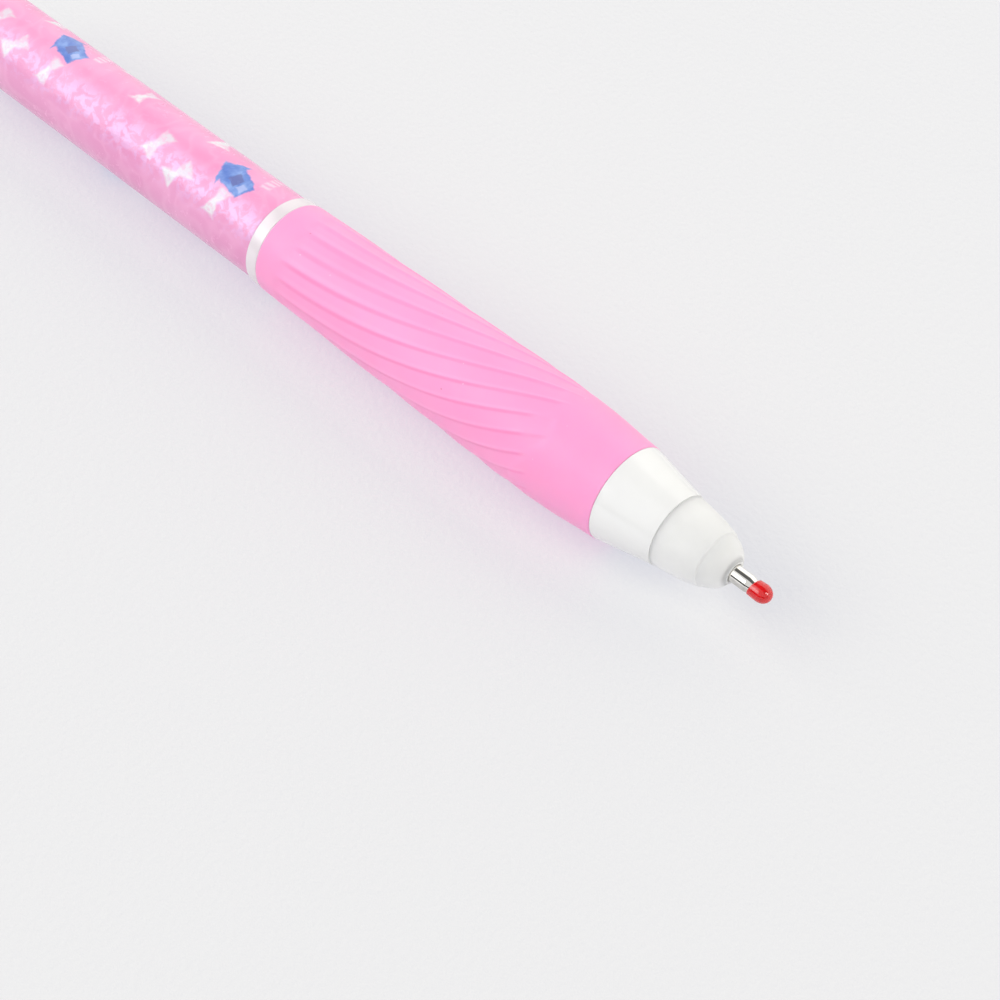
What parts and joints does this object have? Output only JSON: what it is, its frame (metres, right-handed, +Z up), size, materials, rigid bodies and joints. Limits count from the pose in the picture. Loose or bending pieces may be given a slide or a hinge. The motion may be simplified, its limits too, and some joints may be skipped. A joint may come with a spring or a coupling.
{
  "type": "retractable gel pen",
  "caption": "Retractable gel pen lying on its side: printed pearl barrel, ribbed rubber grip, white nose, steel nib with a red resin seal, clip and push button.",
  "frame": {"origin": "on the ground below the middle of the pen's bounding box", "axes": "+X along the pen towards the writing tip, +Z up, and the clip is low on the +Y side"},
  "size_m": [0.1554, 0.0157, 0.0145],
  "materials": {
    "resin_red": "glossy translucent red resin",
    "steel": "bright polished steel",
    "carbide": "polished hard ball",
    "frosted_plastic": "frosted translucent white",
    "white_plastic": "glossy moulded white",
    "pink_rubber": "soft satin pink rubber",
    "pink_barrel": "glossy translucent pink",
    "pearl_print": "pearl pink printed film under a gloss coat",
    "clear_plastic": "clear moulded plastic",
    "natural_plastic": "unpigmented moulded plastic",
    "gel_ink": "wet black gel",
    "grease": "pale clear grease",
    "spring_steel": "drawn spring wire"
  },
  "bodies": {
    "barrel": {"barrel_tube": "pink_barrel", "printed_sleeve": "pearl_print", "end_collar": "white_plastic", "clip_pin": "steel", "cam_guide": "natural_plastic"},
    "clip": {"clip": "white_plastic"},
    "button": {"push_button": "white_plastic", "plunger": "natural_plastic"},
    "refill": {"ink_tube": "clear_plastic", "gel_ink": "gel_ink", "follower_grease": "grease", "tail_plug": "natural_plastic", "nib_holder": "natural_plastic", "nib": "steel", "writing_ball": "carbide", "return_spring": "spring_steel"},
    "cam": {"rotor_cam": "clear_plastic"},
    "ring": {"spacer_ring": "white_plastic"},
    "front": {"nose_cone": "white_plastic", "nose_tip": "frosted_plastic", "grip": "pink_rubber"},
    "seal": {"tip_seal": "resin_red"}
  },
  "joints": [
    {"name": "button_press", "type": "slide", "parent": "barrel", "child": "button", "axis": [1, 0, 0], "range_m": [-0.006, 0.001]},
    {"name": "refill_travel", "type": "slide", "parent": "barrel", "child": "refill", "axis": [1, 0, 0], "range_m": [-0.006, 0.001], "deforming": ["return_spring"]},
    {"name": "cam_turn", "type": "hinge", "parent": "refill", "child": "cam", "pos_m": [-0.03955, -0.0006, 0.00726], "axis": [1, 0, 0], "continuous": true},
    {"name": "clip_hinge", "type": "hinge", "parent": "barrel", "child": "clip", "pos_m": [-0.06955, 0.00551, 0.00242], "axis": [0, 0.6211, 0.7837], "range_deg": [0, 6], "stiffness_Nm_per_rad": 0.3, "springref_deg": -2.86},
    {"name": "ring_travel", "type": "slide", "parent": "barrel", "child": "ring", "axis": [1, 0, 0], "range_m": [0, 0.00825]},
    {"name": "front_unscrew", "type": "hinge", "parent": "ring", "child": "front", "pos_m": [0.02545, -0.0006, 0.00726], "axis": [1, 0, 0], "range_deg": [0, 1985]},
    {"name": "seal_pull", "type": "slide", "parent": "refill", "child": "seal", "axis": [1, 0, 0], "range_m": [0, 0.008]}
  ],
  "couplings": [
    {"joint": "refill_travel", "follows": "button_press", "ratio": 1},
    {"joint": "front_unscrew", "follows": "ring_travel", "rad_per_m": 4188.8}
  ]
}
